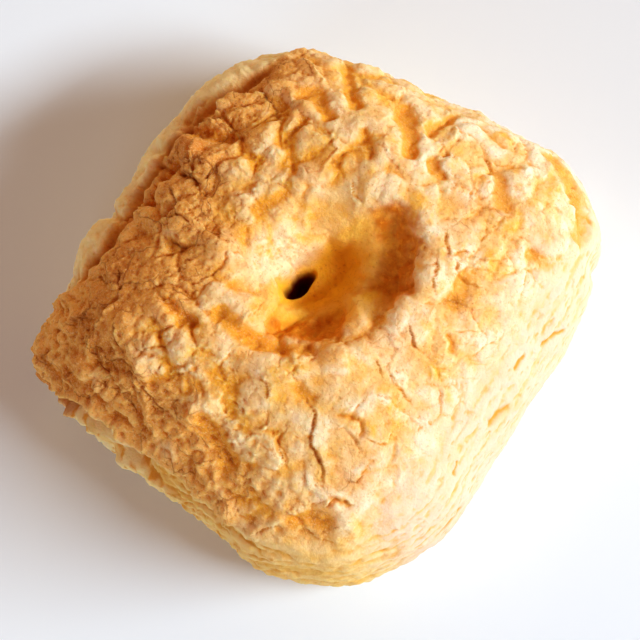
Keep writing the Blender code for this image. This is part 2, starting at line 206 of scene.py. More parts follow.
def bowl(points, hollow):
    """Depth of an oval hollow below each point.  Its wall is steeper or gentler towards +X."""
    x, y, long, wide, turn, depth, left_floor, right_floor = hollow
    cos, sin = np.cos(np.radians(turn)), np.sin(np.radians(turn))
    dx, dy = points[:, 0] - x, points[:, 1] - y
    off = (dx * sin - dy * cos) / wide
    far = np.hypot((dx * cos + dy * sin) / long, off)
    floor = left_floor + (right_floor - left_floor) * smooth(-0.6, 0.6, off)
    return depth * smooth(1.0, floor, far)


def dimple_looks(form, ragged, pressed, on_top):
    """The amber basin, painted shade where the rim's shadow falls, and the pale slope into it, painted
    light, which meet at a ragged edge along the funnel.
    """
    start, turn = np.array(EDGE_OF_LIGHT[:2]), math.radians(EDGE_OF_LIGHT[2])
    beyond = (ragged[:, :2] - start) @ np.array([math.sin(turn), -math.cos(turn)])
    funnel = smooth(0.15, 0.7, bowl(ragged, FUNNEL) / FUNNEL[DEPTH])
    # Painted shade, in amber, where the rim's shadow falls.
    rim_shadow = on_top * smooth(0.3, 1.0, pressed) * smooth(-1.3, 0.3, beyond) * (0.6 + 0.4 * funnel)
    # Painted light on the slope that faces the light.
    painted_lit_slope = on_top * smooth(0.05, 0.5, pressed) * smooth(0.2, -1.3, beyond)
    x, y, wide = LIT_SLOPE_AT
    return {"rim_shadow": rim_shadow, "painted_lit_slope": painted_lit_slope * bell(np.hypot(form[:, 0] - x, form[:, 1] - y), 0, wide)}


# ---- The edge of the crust, and the pale sides where it overhangs them.
PILLOW_NOTCHES = (-19.5, -8.0, 4.0)     # where the pale pillows of the -X side meet, along Y
# Hollows under the crust's overhang on the -Y side: middle along X, half width.
LIP_HOLLOWS = ((-21.0, 2.8), (-14.5, 3.2), (-8.0, 3.0))


def crust_height(points):
    """Height of the edge where the browned crust gives way to the pale side."""
    x, y = points[:, 0], points[:, 1]
    edge = 25.5 + 4.5 * smooth(10, 26, x) * smooth(-30, -18, y) - 11.0 * smooth(22, 35, y)
    edge -= 19.0 * smooth(-15, -30, x) * smooth(-20, -30, y)
    return edge + 1.3 * noise(points, 9, 11) + 0.8 * noise(points, 3.5, 12)


def under_lip(points):
    """Where the crust overhangs hollows below it, along the -Y side from the sharp corner."""
    along = points[:, 0] + noise(points, 4, 14)
    deep = np.zeros(len(points))
    for middle, half in LIP_HOLLOWS:
        deep = np.maximum(deep, bell(along, middle, half))
    return deep * smooth(-25, -31, points[:, 1])


def west_side(points):
    """Where the sides rose into pale pillows behind a crevice, along the -X side."""
    x, y = points[:, 0], points[:, 1]
    return smooth(-20, -25, x) * smooth(-22, -15, y) * smooth(27, 21, y)


# ---- The browned top.
# Folds and lumps that stand up: path in plan, half width, height.
RIDGES = [
    ([(-5.7, -19.7), (-0.4, -15.0), (6.1, -12.7), (9.7, -7.5), (13.8, -4.6)], 2.4, 1.2),
    ([(15.1, -0.1), (15.8, 5.9), (13.8, 11.1)], 3.0, 0.8),
    ([(12.4, 14.8), (8.1, 17.9), (3.2, 17.9)], 2.6, 0.7),
    ([(-3.5, -10.7), (-2.1, -7.6)], 2.6, 1.6),
    ([(0.1, 16.9), (0.3, 16.8)], 2.5, 1.3),
    ([(-1.0, 22.5), (-0.9, 22.5)], 2.8, 1.0),
    ([(-24.4, 5.8), (-24.2, 5.7)], 2.2, 1.5),
    ([(-1.4, -25.9), (0.2, -24.0)], 2.4, 1.1),
    ([(-12.8, -15.4), (-11.0, -16.3)], 1.6, 0.8),
    ([(-15.4, -21.4), (-11.3, -21.9)], 3.0, 0.7),
    ([(-13.0, -3.2), (-12.4, -3.5)], 2.2, 0.9),
    ([(24.3, -24.7), (25.2, -24.8)], 2.6, 1.2),
    ([(-31.0, 2.3), (-29.7, -4.3)], 2.2, 0.9),
    ([(4.6, 11.0), (6.8, 6.5), (8.0, 2.5)], 1.3, 0.8),
    ([(8.8, 1.8), (10.4, -0.8), (9.8, -2.8)], 1.9, 1.8),
]
# Smooth golden hollows where the crust has opened: path in plan, half width, depth.
HOLLOWS = [
    ([(-26.1, 8.4), (-24.2, 10.2), (-21.2, 11.2)], 1.2, 1.6),
    ([(-11.6, 3.9), (-10.1, 6.4), (-8.9, 9.5)], 0.9, 0.8),
    ([(-10.2, 12.3), (-13.4, 15.1), (-13.8, 18.8)], 0.9, 1.1),
    ([(-17.1, 22.5), (-15.9, 24.2), (-13.7, 23.7), (-11.4, 21.8)], 1.2, 1.3),
    ([(-15.9, 31.4), (-11.1, 27.2), (-9.2, 26.1)], 1.1, 1.2),
    ([(-3.2, 30.3), (-0.7, 27.3), (2.2, 24.0)], 1.2, 1.7),
    ([(1.9, 29.1), (2.5, 32.8)], 1.1, 1.5),
    ([(5.3, 24.7), (7.8, 24.2)], 0.9, 1.0),
    ([(-5.4, 23.0), (-2.5, 20.4)], 0.9, 0.8),
    ([(13.2, 29.5), (15.5, 27.1), (17.8, 25.8)], 1.1, 1.1),
    ([(17.2, 35.0), (20.6, 34.4), (24.6, 32.2), (27.4, 29.4)], 1.2, 1.6),
    ([(20.2, 9.3), (20.2, 11.4), (19.8, 13.4)], 1.4, 1.3),
    ([(22.2, 5.5), (23.5, 3.9)], 0.9, 0.9),
    ([(13.1, 1.5), (13.8, 0.8)], 1.0, 1.0),
    ([(-12.7, -14.7), (-10.5, -15.4), (-8.5, -15.4)], 1.2, 1.5),
    ([(0.7, -25.7), (4.0, -26.6), (7.1, -28.6)], 1.3, 1.9),
    ([(10.0, -13.8), (12.2, -13.9)], 1.0, 1.0),
    ([(19.6, -29.6), (21.4, -28.6), (23.2, -26.8)], 1.2, 1.6),
    ([(24.4, 23.3), (27.0, 23.2)], 1.3, 1.2),
    ([(-25.6, -3.6), (-26.9, -6.1), (-28.8, -8.1)], 0.55, 1.7),
    ([(-25.1, 3.2), (-26.5, 0.4), (-26.2, -2.8)], 0.5, 1.6),
    ([(-28.5, 15.3), (-28.6, 12.6), (-28.4, 9.2)], 0.5, 1.2),
]
# Tears in the crust: path in plan, half width, depth, and how far the left bank is lifted.
TEARS = [
    ([(-24.5, 2.2), (-22.1, 2.8), (-19.9, 2.3)], 0.45, 1.3, 0.9),
    ([(-23.9, 0.1), (-21.4, -2.0), (-19.8, -3.9)], 0.25, 0.8, 0.4),
    ([(-22.6, -7.4), (-21.9, -4.8), (-19.7, -3.8), (-17.2, -3.2)], 0.4, 1.2, -0.7),
    ([(-19.6, -5.9), (-18.5, -6.8), (-16.7, -6.6), (-15.8, -5.7)], 0.28, 0.9, 0.5),
    ([(-23.0, -14.3), (-21.8, -16.8), (-20.5, -17.6)], 0.35, 1.0, -0.4),
    ([(-19.7, -17.9), (-20.8, -21.1), (-20.6, -25.8), (-20.1, -28.0)], 0.4, 1.2, 0.8),
    ([(-20.4, -20.2), (-20.2, -23.1), (-19.8, -25.7)], 0.28, 0.9, 0.5),
    ([(-25.2, -25.3), (-23.9, -23.6), (-23.7, -22.2)], 0.25, 0.8, 0.4),
    ([(-14.0, -1.2), (-12.2, -3.1), (-11.3, -4.9)], 0.2, 0.6, 0.2),
    ([(-2.6, -11.1), (-2.7, -8.6), (-2.5, -6.3)], 0.2, 0.5, 0.2),
    ([(-18.1, -21.1), (-16.6, -23.5), (-14.8, -24.4)], 0.3, 0.9, 0.5),
    ([(-17.4, -28.0), (-14.3, -25.6), (-11.1, -25.6), (-9.3, -24.9)], 0.3, 0.9, 0.4),
    ([(-7.7, -23.9), (-5.9, -21.9), (-4.4, -20.4), (-4.7, -18.2)], 0.3, 1.0, 0.4),
    ([(-1.8, -19.1), (-1.7, -16.5), (-0.9, -15.0)], 0.25, 0.8, 0.3),
    ([(2.3, -20.8), (4.6, -20.8), (5.2, -22.2)], 0.25, 0.8, 0.3),
    ([(3.7, -15.7), (6.0, -16.3), (7.5, -17.7)], 0.22, 0.7, 0.3),
    ([(10.3, -20.1), (12.1, -22.3), (14.6, -23.8)], 0.32, 1.1, -0.4),
    ([(11.1, -14.3), (13.4, -15.6), (16.1, -19.4), (18.7, -20.9), (20.4, -23.5)], 0.5, 1.2, 0.5),
    ([(-7.7, -27.4), (-5.7, -28.1), (-4.1, -27.5)], 0.22, 0.7, 0.3),
    ([(16.0, -13.9), (17.6, -12.4), (19.2, -12.2), (20.4, -13.3), (20.6, -15.6)], 0.5, 1.1, 0.4),
    ([(20.9, -14.2), (22.5, -13.4), (23.6, -12.3), (23.5, -9.9)], 0.25, 0.8, 0.3),
    ([(22.7, -20.5), (23.5, -19.3), (23.4, -18.1), (24.0, -16.5)], 0.3, 0.9, 0.4),
    ([(21.7, -25.5), (22.3, -23.7), (24.8, -22.3)], 0.6, 1.5, 0.7),
    ([(17.4, -3.5), (19.6, -4.8), (21.5, -5.1), (24.3, -5.7)], 0.3, 0.8, 0.3),
    ([(15.4, -4.0), (17.0, -4.4), (17.9, -5.8)], 0.22, 0.7, 0.3),
    ([(17.1, 22.5), (18.0, 21.3), (18.3, 19.0)], 0.22, 0.7, 0.2),
    ([(13.3, 18.3), (14.2, 15.9), (15.5, 15.1), (17.1, 16.6), (19.0, 17.3)], 0.32, 1.0, 0.3),
    ([(16.1, 15.0), (17.6, 14.1), (18.8, 13.5), (21.0, 13.8), (22.8, 14.0)], 0.32, 1.0, 0.3),
    ([(19.7, 17.2), (22.1, 19.1)], 0.18, 0.6, 0.2),
    ([(14.3, 13.5), (15.7, 10.6), (17.5, 8.6)], 0.25, 0.8, 0.3),
    ([(22.0, 6.4), (25.2, 9.3)], 0.18, 0.6, 0.2),
    ([(16.8, 3.4), (18.8, 1.3), (21.0, 1.2)], 0.3, 0.9, 0.3),
    ([(-6.3, 15.3), (-6.4, 17.1), (-5.5, 19.3)], 0.25, 0.8, 0.4),
    ([(-2.0, 16.2), (-1.2, 14.5), (0.7, 14.2)], 0.25, 0.7, -0.3),
    ([(9.7, 31.0), (12.7, 29.8), (13.2, 28.2)], 0.25, 0.8, 0.3),
    ([(3.9, 28.4), (5.9, 27.7), (7.1, 26.6)], 0.2, 0.6, 0.2),
    ([(11.8, 11.8), (12.3, 12.8), (11.9, 14.3)], 0.18, 0.6, 0.2),
]
# Steep places in the dimple's wall, partly browned and partly in painted shade: path in plan, half
# width, depth.
DARK_BAYS = [
    ([(6.2, 14.4), (9.6, 11.4), (11.8, 7.0)], 3.1, 1.5),
    ([(2.8, -7.0), (5.6, -5.6), (8.2, -3.4)], 2.6, 1.3),
]
# The crease inside the rim of the dimple, orange as painted shade: path in plan, half width, depth.
RIM_CREASE = [([(-5.6, -11.4), (-2.2, -12.0), (0.8, -11.6), (4.4, -10.8), (7.6, -8.4)], 1.2, 1.2)]
# A tear's dark colour is painted shade for the depth that isn't cut.
CUT_SHARE = 0.28                # of a tear's depth is cut, and its dark colour shows the rest
FOLD_TURN = np.array(Matrix.Rotation(math.radians(37.0), 3, "Z"))  # of the corner's wrinkles
DARKEST = 1.6                   # the most that the crust is browned
# Where the oven browned the crust more, or less where the last number is below 0: x, y, how wide,
# how much.  Some places are partly or wholly painted light and shade, as noted below.
BROWNED_AND_PAINTED_PLACES = [
    (-20.9, -0.1, 8.5, 0.8),
    (-19.5, -13.5, 8.5, 0.9),
    (-20.9, -24.5, 9.0, 1.0),
    (-6.8, -28.6, 6.5, 0.7),
    (-24.5, 14.1, 6.0, 0.7),
    (-18.9, 23.1, 6.0, 0.6),
    (-0.9, 22.5, 4.0, 0.7),
    (14.5, 21.3, 6.0, 1.1),
    # The dimple's steep walls: partly browning, partly painted shade.
    (9.6, 11.4, 5.0, 1.0),
    (9.2, -4.2, 5.0, 1.0),
    (20.7, 10.2, 4.0, 0.7),
    (21.2, -2.1, 5.0, 0.5),
    (3.1, -30.0, 5.0, 0.8),
    (16.6, -31.0, 4.0, 0.6),
    (10.4, -31.0, 4.0, 0.6),
    (22.9, -27.4, 3.0, 1.6),
    (21.8, -14.6, 4.0, 0.5),
    (-1.5, -7.8, 3.0, 0.5),
    (20.5, 35.1, 5.0, 0.8),
    (-14.5, 1.5, 5.0, -0.7),
    (-15.7, 11.8, 5.5, -0.8),
    (-24.6, 5.9, 3.4, 2.4),
    (-17.5, 2.0, 3.5, 0.7),
    (-9.6, 22.5, 4.0, -0.5),
    (8.8, -21.1, 7.0, -0.6),
    (7.5, -26.8, 4.5, -0.5),
    (-1.7, -23.4, 4.0, -0.4),
    (19.8, -8.0, 5.0, -0.4),
    # Paler at the top, towards +Y: painted light.
    (3.0, 27.0, 9.0, -0.95),
    (-9.0, 29.0, 6.0, -0.75),
]


def trace(points, path):
    """Distance in plan to a bent line, less than 0 on its right, and the share along it."""
    plan = points[:, :2]
    path = np.array(path)
    steps = np.linalg.norm(np.diff(path, axis=0), axis=1)
    nearest, side, along = np.full(len(points), 99.0), np.ones(len(points)), np.zeros(len(points))
    passed = 0.0
    for start, end, length in zip(path[:-1], path[1:], steps):
        run = (end - start) / length
        place = (plan - start) @ run
        share = np.clip(place, 0, length)
        off = plan - start - share[:, None] * run
        far = np.hypot(*off.T)
        closer = far < nearest
        nearest[closer] = far[closer]
        side[closer] = np.sign(run[0] * off[closer, 1] - run[1] * off[closer, 0])
        along[closer] = (passed + share[closer]) / steps.sum()
        passed += length
    return nearest, side, along


def close_to(points, path, reach):
    """Which points lie near a bent line in plan."""
    low, high = np.min(path, axis=0) - reach, np.max(path, axis=0) + reach
    return np.all((points[:, :2] > low) & (points[:, :2] < high), axis=1)


def strokes(points, paths):
    """The strongest of several soft strokes, each from its path, half width and strength."""
    strongest = np.zeros(len(points))
    for path, wide, strength in paths:
        near = close_to(points, path, 3 * wide)
        far = trace(points[near], path)[0]
        strongest[near] = np.maximum(strongest[near], strength * bell(far, 0, wide))
    return strongest


def tears(points):
    """Depth of the tears, how much of a tear there is, and the lift of their banks."""
    depth, cut, lift = np.zeros(len(points)), np.zeros(len(points)), np.zeros(len(points))
    grain = noise(points, 1.3, 21)
    for path, wide, deep, bank in TEARS:
        near = close_to(points, path, 4.0)
        far, side, along = trace(points[near], path)
        ends = smooth(0, 0.25, along) * smooth(1, 0.75, along)
        reach = 0.5 * wide * (0.3 + 0.7 * ends) * (1 + 0.8 * grain[near])
        line = (1 - smooth(0.3 * reach, 2.0 * reach, far)) * (0.3 + 0.7 * ends)
        depth[near] = np.maximum(depth[near], CUT_SHARE * deep * line)
        cut[near] = np.maximum(cut[near], line)
        raised = abs(bank) * ends * np.exp(-far / 1.2) * np.where(side * bank > 0, 1, -0.35)
        lift[near] += raised
    return depth, cut, lift


def toast_light_and_shade(points):
    """How brown the crust is, from 0 where it is pale."""
    x, y, z = points.T
    brown = 0.25 + 0.35 * noise(points, 7, 96) + 0.25 * noise(points, 3, 97)
    # Browner towards -X and paler towards +X, where the light comes from, which is partly painted
    # shade and light; browner low under the sharp corner, which is painted shade.
    brown += 0.3 * smooth(-12, -22, x) - 0.2 * smooth(4, 24, x + 0.3 * y)
    brown += (0.35 * smooth(-21, -29, y) * smooth(16, 6, x)
              + 0.6 * smooth(17, 12, z) * smooth(-18, -24, x))
    for at_x, at_y, wide, much in BROWNED_AND_PAINTED_PLACES:
        brown += 0.5 * much * bell(np.hypot(x - at_x, y - at_y), 0, wide)
    return np.clip(brown, 0, DARKEST)


def crust_relief(points):
    """The browned top: its relief, and the looks that go with it."""
    torn = wander(wander(points, 3.2, 0.5, 20), 1.0, 0.3, 26)
    drift = wander(points, 6.5, 1.6, 24)
    puffy = smooth(-0.35, 0.5, noise(points, 13, 28) + 0.012 * points[:, 1])
    crumbly = smooth(-18, -28, points[:, 1])
    rise = 0.75 * octaves(points, 17, 2, 52)

    # Puffs, crowded together, with finer lumps on them.
    border, dome, _ = plates(wander(drift, 3.0, 0.7, 56), 6.0, 58)
    lump = 1 - np.exp(-border / (0.8 + 0.7 * dome))
    puff = (0.35 + 0.75 * puffy) * lump + (0.45 + 0.5 * puffy) * noise(drift, 5.5, 30)
    puff += (0.2 + 0.2 * puffy) * np.abs(noise(wander(points, 3, 0.8, 32), 2.9, 35))
    puff += (0.15 + 0.45 * crumbly) * noise(wander(points, 1.6, 0.5, 94), 1.6, 95)

    # Broken plates, each at its own height and tilt, with seams between them.
    border, plate, tilt = plates(wander(wander(drift, 2.2, 0.4, 36), 0.9, 0.3, 42), 7.5, 38)
    broken = smooth(0.1, 0.5, noise(points, 6.5, 40))
    rise += 0.28 * (plate - 0.5) + 0.025 * tilt + 0.15 * broken * bell(border, 0.8, 0.6)
    seam = broken * (1 - smooth(0.0, 0.2, border))

    # Small flakes over the plates.
    border, plate, tilt = plates(wander(wander(points, 2.5, 0.7, 44), 0.8, 0.3, 49), 3.4, 46)
    flaky = smooth(-0.1, 0.4, noise(points, 5, 48))
    fine = flaky * (1 - smooth(0.0, 0.14, border))
    rise += (0.08 + 0.1 * flaky) * (plate - 0.5) + 0.03 * flaky * tilt

    # Torn hollows, the dimple's steep places and rim, tears, and the corner's wrinkles.
    sunk = strokes(wander(torn, 3.5, 0.8, 16), HOLLOWS)
    opened = smooth(0.1, 1.1, sunk)
    bays = strokes(wander(torn, 2.5, 1.2, 17), DARK_BAYS)
    rim = strokes(torn, RIM_CREASE)
    depth, cut, lift = tears(torn)
    corner = smooth(-21, -25, points[:, 0]) * smooth(-22, -27, points[:, 1])
    folds = np.abs(noise(wander(points, 4, 0.8, 18) @ FOLD_TURN / np.array([1.6, 9.0, 9.0]), 1.0, 19))

    # Crumbs and grain, and then all of it together, flatter towards +X and +Y.
    crumbs = noise(wander(points, 0.9, 0.3, 92), 1.2, 99)
    grain = 0.18 * noise(points, 0.9, 90) + 0.14 * noise(points, 0.5, 91)
    calm = 1.2 - 0.55 * smooth(-14, 8, points[:, 0] + 0.6 * points[:, 1])
    relief = calm * ((rise + puff - 0.3 * seam - 0.16 * fine) * (1 - 0.4 * opened) + grain)
    relief += strokes(wander(points, 5, 1.0, 93), RIDGES) - 0.65 * sunk + lift - depth - bays - rim
    relief += 1.4 * corner * folds + 0.5 * smooth(0.1, 0.8, bays) * crumbs
    looks = {
        # The rim crease takes the amber of the torn hollows, as painted shade.
        "opened": np.maximum(opened, smooth(0.2, 0.9, rim)),
        "bay": np.clip(smooth(0.15, 1.1, bays) * (0.85 + 0.6 * crumbs), 0, 1),
        "crack": np.maximum(cut, np.maximum(0.6 * seam, 0.5 * fine)),
        "toast_light_and_shade": np.clip(toast_light_and_shade(points) + 0.3 * (dome - 0.5) + 0.35 * (lump - 0.65), 0, DARKEST),
    }
    return relief, looks


# ---- The flaky sides.
# Long pores in the +X side: path along Y and Z, half width.
FLANK_MARKS = [
    ([(3.3, 21.2), (0.0, 22.6)], 0.7),
    ([(-1.9, 29.6), (-3.4, 28.7)], 0.35),
    ([(17.7, 19.7), (14.2, 22.3)], 0.4),
    ([(10.5, 24.5), (8.3, 25.3)], 0.35),
    ([(-12.8, 13.9), (-17.3, 14.1)], 0.7),
    ([(-22.0, 11.0), (-25.5, 10.0)], 0.6),
    ([(-8.0, 24.5), (-9.8, 24.0)], 0.35),
]


def flank_marks(points):
    """Long pores in the +X side."""
    torn = wander(points, 1.5, 0.5, 15)[:, 1:]
    mark = np.zeros(len(points))
    for path, wide in FLANK_MARKS:
        mark = np.maximum(mark, bell(trace(torn, path)[0], 0, wide))
    return mark * smooth(15, 20, points[:, 0])


def side_relief(points):
    """The flaky sides: their relief, and the looks that go with it."""
    east, south = smooth(15, 25, points[:, 0]), smooth(-12, -28, points[:, 1])
    drift = wander(points, 9, 1.6, 60)
    layer = noise(drift / np.array([9, 9, 2.2]), 1.0, 63)
    layer += 0.6 * noise(wander(drift, 2.0, 0.5, 65) / np.array([3.6, 3.6, 0.9]), 1.0, 64)
    flaky = 0.15 + 0.5 * south * smooth(24, 6, points[:, 0])
    bubble = noise(wander(points, 1.5, 0.4, 66) / np.array([1.5, 1.5, 0.8]), 1.0, 67)
    bubble = np.clip(bubble - 0.38 + 0.2 * south, 0, 1)
    marks = flank_marks(points)
    dashes = smooth(0.1, 0.7, noise(wander(points, 2.0, 0.5, 68) / np.array([1.1, 2.4, 1.1]), 1.0, 69))
    relief = flaky * np.tanh(2.0 * layer) + 0.7 * octaves(points, 13, 2, 75) - 0.35 * marks
    relief += (0.35 - 0.2 * east) * octaves(points, 2.2, 4, 70) + 0.3 * south * noise(points, 1.6, 78)
    relief += (0.25 - 0.15 * east) * np.abs(noise(points, 1.1, 77))
    looks = {
        "pore": np.maximum(smooth(0.0, 0.2, bubble) * (1 - 0.6 * east), marks),
        "recess": smooth(0.1, -0.5, layer),
        "dash": dashes,
    }
    return relief - 0.3 * bubble, looks


# ---- The whole surface, and its mesh.
GRID = (260, 110)               # rows of the grid across and up the sides, before thinning
GRID_RISE = 1.25                # how tall the grid's box is, as a share of the biscuit's height
TRIANGLES = 194000              # in the finished piece
MARGIN = 0.05                   # kept inside the solid's box, in millimetres
KEPT, TAKEN = 0.3, 0.7          # shares of a point's own value and of its neighbours', each round
NEAR_ROUNDS, WIDE_ROUNDS = 12, 110      # how many rounds even out the close and the wide surroundings


def surface(points):
    """How far the surface stands out of the even form along its normals, and its looks."""
    above = points[:, 2] - crust_height(points)
    east, south = smooth(8, 24, points[:, 0]), smooth(-20, -33, points[:, 1])
    west = west_side(points)
    crust = smooth(-1.0 - 3.0 * east, 1.0 + 2.0 * east, above)
    ragged = above + 0.8 * noise(points, 2.2, 13) * (0.8 + 2.8 * east)
    browned = smooth(-0.8 - 3.2 * east - 0.8 * west, 0.8 + 4.0 * east + 1.6 * west, ragged)
    pressed = np.clip(bowl(points, DIMPLE) / DIMPLE[DEPTH] * 1.5, 0, 1)
    # Painted light: paler colour towards +X, the side the light comes from.
    painted_lit_side = smooth(-2, 22, points[:, 0] + 0.3 * points[:, 1]) * (1 - south)
    looks = {"browned": browned, "pressed": pressed, "painted_lit_side": painted_lit_side}
    rise = np.zeros(len(points))
    kinds = ((crust > 0, crust, crust_relief), (crust < 1, 1 - crust, side_relief))
    for where, share, relief in kinds:
        here, found = relief(points[where])
        rise[where] += share[where] * here
        for name, values in found.items():
            looks[name] = np.zeros(len(points))
            looks[name][where] = values * share[where]
    recess, dash = looks.pop("recess"), looks.pop("dash")
    # Golden on the -Y side, with painted shade where layers are sunk, and golden dashes towards +X.
    looks["gold"] = (0.08 - 0.06 * east + south * (0.1 + 0.5 * smooth(-10, 6, points[:, 0]))
                     + recess * (0.2 + 0.3 * south) + 0.3 * east * dash)
    looks["toast_light_and_shade"] *= 1 - 0.55 * west * smooth(4.5, 0.5, above)
    funnel = smooth(0.1, 0.7, bowl(points, FUNNEL) / FUNNEL[DEPTH])
    rise *= (1 - 0.15 * pressed) * (1 - 0.6 * funnel)

    # The crust's lip, the hollows under it, and the pillows behind their crevice on the -X side.
    lip = (0.5 + 0.5 * noise(points, 8, 80)) * (1 - 0.7 * east) * (1 - west)
    rise += lip * (0.7 * bell(above, 1.3, 1.2) - 0.9 * bell(above, -1.6, 1.3))
    overhang = under_lip(points)
    rise += overhang * (0.9 * bell(above, 0.5, 1.2) - 3.6 * bell(above, -3.2, 2.2)
                        + 1.6 * bell(above, -7.6, 1.8))
    behind = above + 1.0 * noise(points, 5, 79)
    rise += west * (1.1 * bell(behind, -1.6, 2.2) - 1.2 * bell(behind, 1.8, 0.8))
    for notch in PILLOW_NOTCHES:
        rise -= 1.6 * west * bell(points[:, 1], notch, 1.0) * bell(above, -2.0, 3.5)

    # Painted shade in the pocket under the sharp corner and in the crevice.
    under = smooth(-24, -31, points[:, 1]) * smooth(-15, -23, points[:, 0])
    under *= smooth(-0.7, 0.3, noise(points, 3, 81) + 0.6 * overhang)
    under *= smooth(0.8, -0.8, above) * smooth(-9.5, -6.0, above)
    looks["crevice"] = np.maximum(west * bell(behind, 1.8, 0.8), under)
    looks["pore"] *= 1 - 0.85 * west
    looks["shut"] = west
    return (rise + side_bulge(points)) * smooth(0.0, 2.5, points[:, 2]), looks


def grid_cube(across, upright):
    """A cube whose faces are fine grids, with its own number of rows up the sides."""
    bm = bmesh.new()
    bmesh.ops.create_cube(bm, size=2)
    flat = [edge for edge in bm.edges if edge.verts[0].co.z == edge.verts[1].co.z]
    bmesh.ops.subdivide_edges(bm, edges=flat, cuts=across - 1, use_grid_fill=True)
    tall = [edge for edge in bm.edges if edge.verts[0].co.z != edge.verts[1].co.z]
    bmesh.ops.subdivide_edges(bm, edges=tall, cuts=upright - 1, use_grid_fill=True)
    mesh = bpy.data.meshes.new("biscuit_dough")
    bm.to_mesh(mesh)
    bm.free()
    return mesh


def read_points(mesh):
    """The mesh's points, a row for each."""
    flat = np.empty(3 * len(mesh.vertices))
    mesh.vertices.foreach_get("co", flat)
    return flat.reshape(-1, 3)


def write_points(mesh, points):
    """Moves the mesh's points to the rows given."""
    mesh.vertices.foreach_set("co", points.astype(np.float32).ravel())
    mesh.update()


def normals(mesh):
    """Which way the mesh faces at each point."""
    flat = np.empty(3 * len(mesh.vertices), np.float32)
    mesh.vertex_normals.foreach_get("vector", flat)
    return flat.reshape(-1, 3).astype(float)


def spread(mesh, values, rounds):
    """Evens values out over the mesh, further with each round."""
    ends = np.empty(2 * len(mesh.edges), int)
    mesh.edges.foreach_get("vertices", ends)
    ahead, behind = ends.reshape(-1, 2).T
    count = len(mesh.vertices)
    around = np.bincount(ahead, minlength=count) + np.bincount(behind, minlength=count)
    for _ in range(rounds):
        total = np.bincount(ahead, values[behind], count) + np.bincount(behind, values[ahead], count)
        values = KEPT * values + TAKEN * total / around
    return values


def heights(mesh, rise):
    """How far each point stands above its surroundings, close by and further round."""
    near = spread(mesh, rise, NEAR_ROUNDS)
    wide = spread(mesh, near, WIDE_ROUNDS)
    return {"crest": rise - near, "swell": near - wide}


def bake_shape(mesh):
    """Moves the grid cube's points out to the biscuit's surface and notes its looks on them."""
    ways = np.tan(read_points(mesh) * np.pi / 4) * np.array([WIDTH, LENGTH, GRID_RISE * HEIGHT])
    ways /= np.linalg.norm(ways, axis=1)[:, None]
    form = pillow(ways)
    write_points(mesh, form * MM)
    on_top = smooth(0.2, 0.7, normals(mesh)[:, 2])
    ragged = wander(form, 2.5, 0.6, 98)
    points = form.copy()
    points[:, 2] -= on_top * (bowl(form, DIMPLE) + bowl(ragged, FUNNEL))
    write_points(mesh, points * MM)
    rise, looks = surface(form)
    points += normals(mesh) * rise[:, None]
    pricked = on_top * bowl(wander(form, 2.0, 0.35, 90), PIN_HOLE)
    points[:, 2] -= pricked
    points[:, 2] = np.maximum(points[:, 2], 0)
    write_points(mesh, points * MM)
    looks.update(heights(mesh, rise))
    looks.update(dimple_looks(form, ragged, looks["pressed"], on_top))
    looks["pricked"] = pricked / PIN_HOLE[DEPTH]
    for name, values in looks.items():
        noted = mesh.attributes.new(name, "FLOAT", "POINT")
        noted.data.foreach_set("value", values.astype(np.float32))


def thin_out(piece):
    """Keeps the number of triangles that the piece may have, most of them where it is rough."""
    thinning = piece.modifiers.new("thinning", "DECIMATE")
    thinning.ratio = TRIANGLES / (2 * len(piece.data.polygons))
    thinning.use_collapse_triangulate = True
    evaluated = piece.evaluated_get(bpy.context.evaluated_depsgraph_get())
    rough = piece.data
    piece.data = bpy.data.meshes.new_from_object(evaluated)
    piece.modifiers.clear()
    bpy.data.meshes.remove(rough)


def bring_to_size(mesh):
    """Scales the dough into the box of the solid that it stands for."""
    points = read_points(mesh)
    low, high = points.min(axis=0), points.max(axis=0)
    box_low, box_high = np.array(cad_box[0]) + MARGIN * MM, np.array(cad_box[1]) - MARGIN * MM
    box_low[2] -= MARGIN * MM       # the base stays at the solid's
    write_points(mesh, box_low + (points - low) * (box_high - box_low) / (high - low))


dough = bpy.data.objects.new("biscuit_dough", grid_cube(*GRID))
bpy.context.scene.collection.objects.link(dough)
bake_shape(dough.data)
thin_out(dough)
bring_to_size(dough.data)
dough.data.name = "biscuit_dough"
dough.data.shade_smooth()

# ---- Baked wheat dough: matt, floury on the puffs, glossy nowhere, slightly see-through where it is
# Baked wheat dough: matt, floury on the puffs, with painted highlight there too, glossy nowhere,
# slightly see-through where it is thin.  The crust is tan to brown on what stood up in the oven and
# golden where it tore open.

# Colours of the crust: its pale puffs, where it browned, its valleys, creases, tears and grain.
# Some are painted light: the cream on raised places and on the side the light comes from, and part
# of the flour on the crests.  Some are painted shade: part of the golden in the valleys, the darker
# creases, and part of the tears' dark colour.
LIT_CREAM = "#fff0d2"
FLOUR_AND_HIGHLIGHT = "#fde4b4"
PUFF_TAN = "#f7c880"
GOLDEN_PUFF = "#f8be50"
TOASTED = "#f0ae56"
DEEP_BROWN = "#d68a3a"
SCORCHED = "#a45416"
LIT_SIDE_VALLEY = "#fde0a8"
GOLDEN_VALLEY_SHADE = "#f4aa2c"
SOFT_CREASE_SHADE = "#eea42c"
CREASE_SHADE = "#dc8418"
TORN_AMBER = "#f2a834"
CRACK_GOLD = "#e89c38"
CRACK_BROWN = "#ae5e1c"
GRAIN_CREAM = "#f8d79c"
GRAIN_GOLD = "#d88c34"
